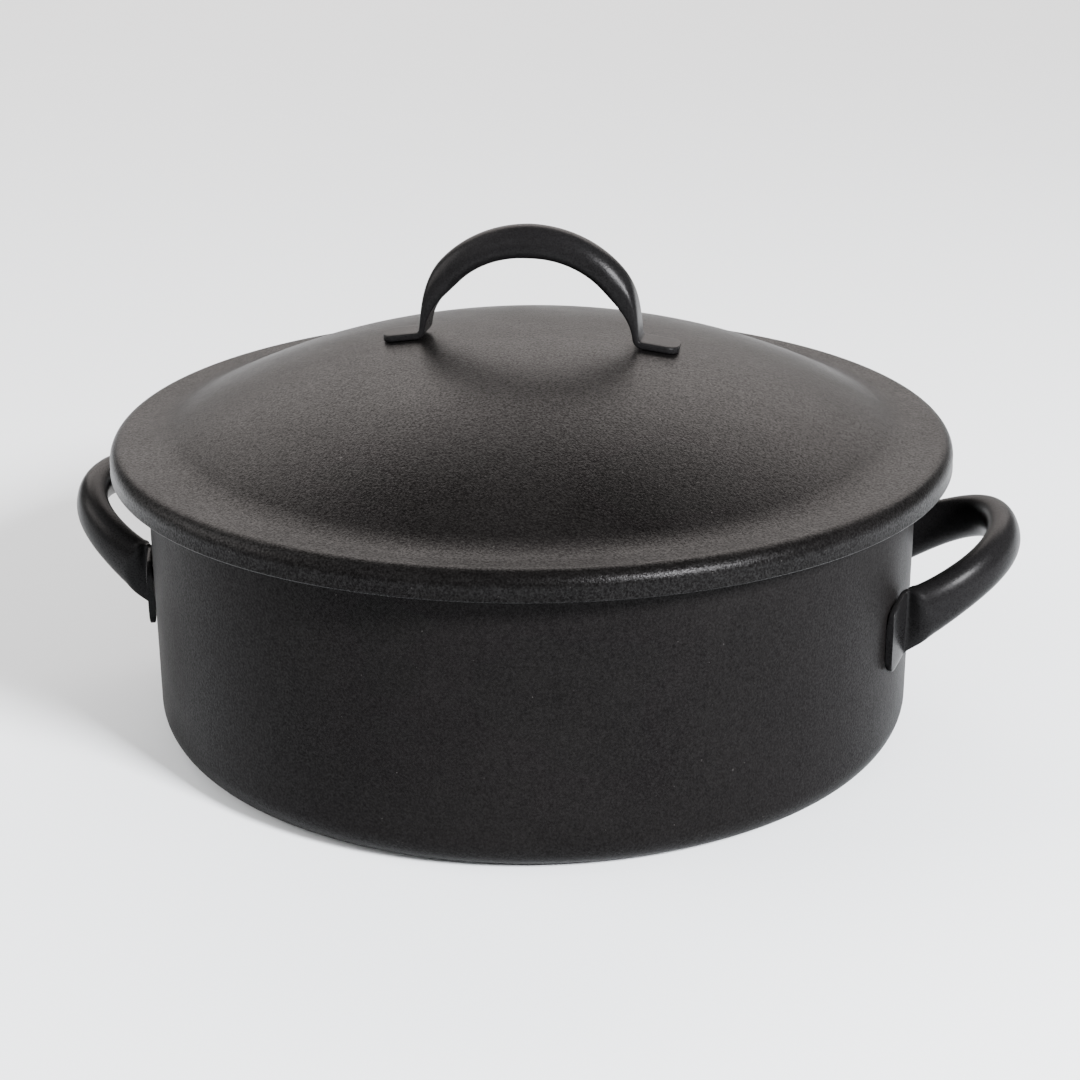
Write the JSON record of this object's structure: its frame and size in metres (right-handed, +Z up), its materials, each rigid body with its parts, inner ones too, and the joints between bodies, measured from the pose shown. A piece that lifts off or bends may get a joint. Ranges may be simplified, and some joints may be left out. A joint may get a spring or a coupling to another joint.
{
  "type": "covered round casserole",
  "caption": "Low round casserole in black sheet iron, with welded loop side handles and a domed lid with an arch handle.",
  "frame": {"origin": "centre of the base, on the surface the pot stands on", "axes": "+X towards the right side handle, +Y towards the back, +Z up"},
  "size_m": [0.3276, 0.28, 0.1685],
  "materials": {
    "pot_iron": "matte, fine sandy black coat",
    "lid_iron": "matte, fine mottled coat",
    "handle_iron": "semi-gloss black",
    "weld": "coated over"
  },
  "bodies": {
    "pot": {"pot_shell": "pot_iron", "side_handle_right": "handle_iron", "side_handle_left": "handle_iron", "side_handle_right_welds": "weld", "side_handle_left_welds": "weld"},
    "lid": {"lid_shell": "lid_iron", "lid_handle": "handle_iron", "lid_handle_welds": "weld"}
  },
  "joints": [
    {"name": "lid_lift", "type": "slide", "parent": "pot", "child": "lid", "axis": [0, 0, 1], "range_m": [0, 0.15]}
  ]
}
